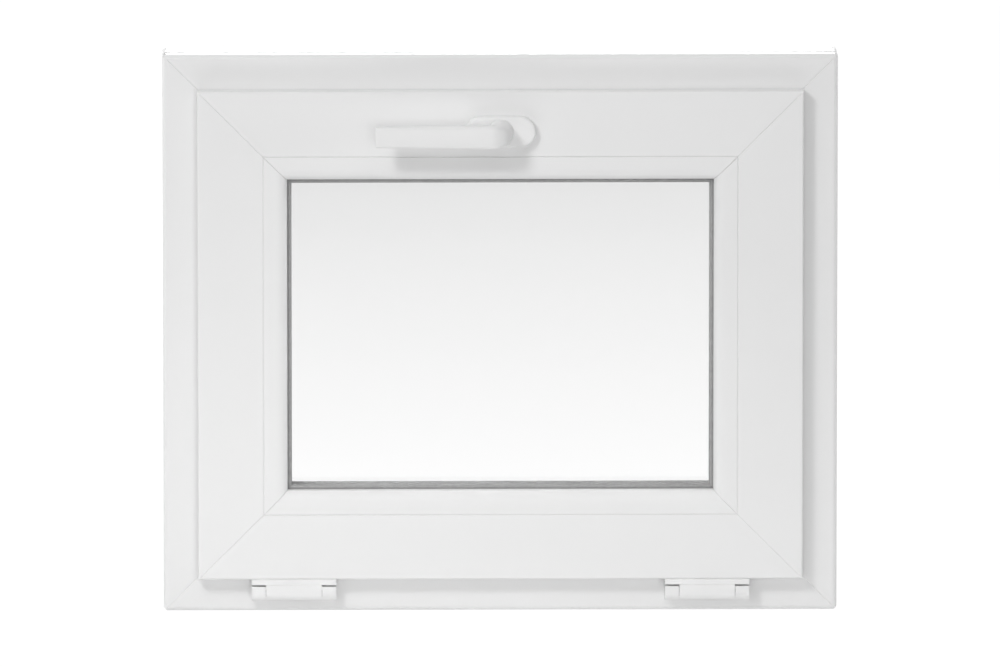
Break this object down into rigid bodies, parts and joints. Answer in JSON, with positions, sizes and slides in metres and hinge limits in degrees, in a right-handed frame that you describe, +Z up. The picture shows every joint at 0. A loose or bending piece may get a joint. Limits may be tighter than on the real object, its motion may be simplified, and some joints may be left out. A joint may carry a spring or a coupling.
{
  "type": "window",
  "caption": "Small bottom-hung double-glazed plastic window with a welded frame and overlapping sash, glazing beads, a turning handle on the top rail and barrel hinges below.",
  "frame": {"origin": "middle of the underside of the frame sill, halfway through the frame's depth", "axes": "+X to the right seen from the room side, +Y away from the room to the outside, +Z up"},
  "size_m": [0.6, 0.13, 0.5],
  "materials": {
    "pvc_white": "satin white window plastic",
    "seal_grey": "soft matt grey seal",
    "clear_glass": "clear float glass",
    "spacer_aluminium": "mill-finish rolled aluminium",
    "sealant_dark": "dark edge sealant",
    "block_plastic": "moulded support plastic",
    "handle_white": "white powder coat on cast metal",
    "hinge_white": "satin white moulded cover",
    "spindle_steel": "zinc-plated steel"
  },
  "bodies": {
    "window": {"bead_gasket": "seal_grey", "drain_cap_left": "pvc_white", "drain_cap_right": "pvc_white", "edge_sealant": "sealant_dark", "frame_head": "pvc_white", "frame_jamb_left": "pvc_white", "frame_jamb_right": "pvc_white", "frame_seal": "seal_grey", "frame_sill": "pvc_white", "glass_pane_inner": "clear_glass", "glass_pane_outer": "clear_glass", "glazing_bead_bottom": "pvc_white", "glazing_bead_left": "pvc_white", "glazing_bead_right": "pvc_white", "glazing_bead_top": "pvc_white", "handle_base": "block_plastic", "handle_cover": "handle_white", "hinge_left_frame_leaf": "hinge_white", "hinge_left_pin": "spindle_steel", "hinge_left_sash_leaf": "hinge_white", "hinge_right_frame_leaf": "hinge_white", "hinge_right_pin": "spindle_steel", "hinge_right_sash_leaf": "hinge_white", "outer_glazing_gasket": "seal_grey", "sash_bottom_rail": "pvc_white", "sash_seal": "seal_grey", "sash_stile_left": "pvc_white", "sash_stile_right": "pvc_white", "sash_top_rail": "pvc_white", "setting_blocks": "block_plastic", "spacer_bar": "spacer_aluminium"},
    "handle": {"handle_lever": "handle_white", "handle_spindle": "spindle_steel"}
  },
  "joints": [
    {"name": "handle_turn", "type": "hinge", "parent": "window", "child": "handle", "pos_m": [0, -0.048, 0.434], "axis": [0, -1, 0], "range_deg": [0, 90]}
  ]
}
